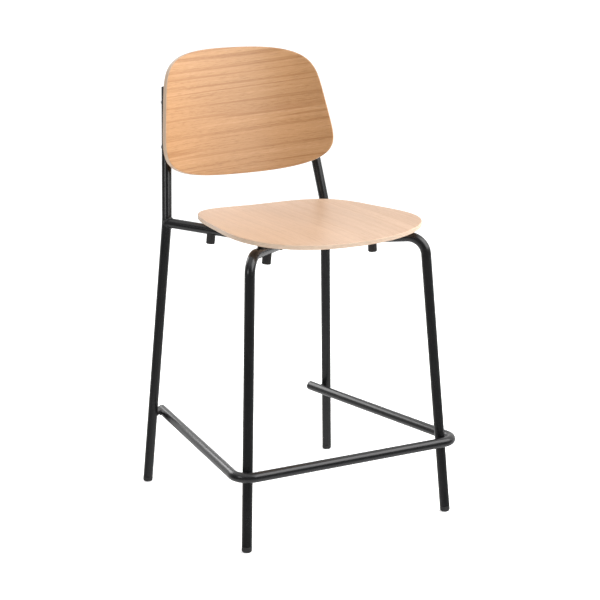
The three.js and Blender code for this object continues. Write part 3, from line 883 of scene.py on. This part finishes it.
# Name, azimuth from +X, elevation, distance, width, height, radiance, and whether gloss shows it
SOFTBOXES = (
    ("front_right_softbox", -50.0, 33.0, 2.6, 3.0, 1.9, 3.9, True),
    ("rear_left_softbox", 108.0, 26.0, 2.8, 2.2, 1.0, 4.5, True),
    ("left_softbox", -160.0, 14.0, 2.6, 0.8, 0.6, 5.0, True),
    ("key_softbox", -8.0, 23.0, 2.6, 1.2, 1.2, 16.5, False),
)
SOFTBOX_AIM = Vector((0.0, 0.0, 0.6))
AWAY_FROM_CAMERA = (0.49, 0.87)
FLOOR_REACH = 60.0
FLOOR_GLOW = 0.25
BACKDROP_RADIUS = 50.0
BACKDROP_HEIGHT = 90.0
BACKDROP_GLOW = 1.05

# The camera stands in front of the stool and to its left, in metres, turned by degrees
CAMERA_PLACE = (-1.8297, -3.2708 + SHIFT * 0.001, 1.3612)
CAMERA_DOWN = 13.58
CAMERA_TURN = -29.52
CAMERA_LENS = 104.8


def studio_light():
    """A room that is white behind the stool and overhead, and dim in front of it."""
    world = bpy.data.worlds.new("studio")
    bpy.context.scene.world = world
    world.use_nodes = True
    tree = world.node_tree
    place = tree.nodes.new("ShaderNodeTexCoord")
    parts = tree.nodes.new("ShaderNodeSeparateXYZ")
    tree.links.new(place.outputs["Generated"], parts.inputs[0])

    def attach(value, socket):
        if isinstance(value, bpy.types.NodeSocket):
            tree.links.new(value, socket)
        else:
            socket.default_value = value

    def maths(operation, a, b):
        node = tree.nodes.new("ShaderNodeMath")
        node.operation = operation
        attach(a, node.inputs[0])
        attach(b, node.inputs[1])
        return node.outputs[0]

    def fade(value, start, end, low, high):
        node = tree.nodes.new("ShaderNodeMapRange")
        node.interpolation_type = "SMOOTHSTEP"
        for name, number in zip(("Value", "From Min", "From Max", "To Min", "To Max"),
                                (value, start, end, low, high)):
            attach(number, node.inputs[name])
        return node.outputs[0]

    x, y, z = parts.outputs
    across, along = AWAY_FROM_CAMERA
    behind = maths("ADD", maths("MULTIPLY", x, across), maths("MULTIPLY", y, along))
    level = fade(behind, *SIDE_FADE, DIM_SIDE, WHITE_SIDE)
    risen = fade(z, *TOP_FADE, level, BRIGHT_TOP)
    total = fade(z, *GROUND_FADE, BRIGHT_GROUND, risen)
    tree.links.new(total, tree.nodes["Background"].inputs["Strength"])
    tree.nodes["Background"].inputs["Color"].default_value = (1.0, 1.0, 1.0, 1.0)


def glow(n, strength):
    n.shader.inputs["Emission Color"].default_value = (1.0, 1.0, 1.0, 1.0)
    n.shader.inputs["Emission Strength"].default_value = strength


def build_backdrop():
    """A distant white wall all round, which only the camera sees."""
    east, north = Vector((1.0, 0.0, 0.0)), Vector((0.0, 1.0, 0.0))
    rings = []
    for z in (-BACKDROP_HEIGHT, BACKDROP_HEIGHT):
        rings.append(round_ring(Vector((0.0, 0.0, z)), east, north, BACKDROP_RADIUS, 96))
    vertices, faces = loft(rings)
    mesh = bpy.data.meshes.new("backdrop")
    mesh.from_pydata(vertices, [], faces)
    n = Nodes("backdrop", 0.9, 0.0)
    glow(n, BACKDROP_GLOW)
    mesh.materials.append(n.material)
    backdrop = bpy.data.objects.new("backdrop", mesh)
    backdrop.visible_diffuse = False
    backdrop.visible_glossy = False
    backdrop.visible_shadow = False
    bpy.context.scene.collection.objects.link(backdrop)


def build_floor():
    far = FLOOR_REACH
    corners = [(-far, -far, 0.0), (far, -far, 0.0), (far, far, 0.0), (-far, far, 0.0)]
    mesh = bpy.data.meshes.new("floor")
    mesh.from_pydata(corners, [], [(0, 1, 2, 3)])
    n = Nodes("floor", 0.8, 0.1)
    cloud = n.noise(n.position(), 0.7, 2.0)
    n.link(n.grey(cloud, [(0.3, 0.93), (0.7, 0.95)]), "Base Color")
    glow(n, FLOOR_GLOW)
    mesh.materials.append(n.material)
    floor = bpy.data.objects.new("floor", mesh)
    bpy.context.scene.collection.objects.link(floor)
    floor.visible_glossy = False


def build_softboxes():
    for name, azimuth, elevation, distance, width, height, radiance, shown in SOFTBOXES:
        light = bpy.data.lights.new(name, "AREA")
        light.shape = "RECTANGLE"
        light.size, light.size_y = width, height
        light.energy = radiance * math.pi * width * height
        lamp = bpy.data.objects.new(name, light)
        turn, rise = math.radians(azimuth), math.radians(elevation)
        level = math.cos(rise)
        away = Vector((level * math.cos(turn), level * math.sin(turn), math.sin(rise)))
        lamp.location = SOFTBOX_AIM + away * distance
        lamp.rotation_euler = away.to_track_quat("Z", "Y").to_euler()
        lamp.visible_camera = False
        lamp.visible_glossy = shown
        bpy.context.scene.collection.objects.link(lamp)


def build_camera():
    camera = bpy.data.cameras.new("camera")
    camera.sensor_width = 36.0
    camera.lens = CAMERA_LENS
    camera.clip_end = 200.0
    eye = bpy.data.objects.new("camera", camera)
    eye.location = CAMERA_PLACE
    eye.rotation_euler = (math.radians(90.0 - CAMERA_DOWN), 0.0, math.radians(CAMERA_TURN))
    bpy.context.scene.collection.objects.link(eye)
    bpy.context.scene.camera = eye
    bpy.context.scene.view_settings.view_transform = "Standard"


build_frame()
build_cross_tubes()
build_footrest()
build_plugs()
build_panels()
build_seat_fixings()
build_support_pads()
build_back_fixings()

# The threaded inserts keep their CAD shape
for node_name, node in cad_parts.items():
    if "_insert_" in node_name:
        for held in node.material_slots:
            held.material = ZINC

build_floor()
build_backdrop()
studio_light()
build_softboxes()
build_camera()
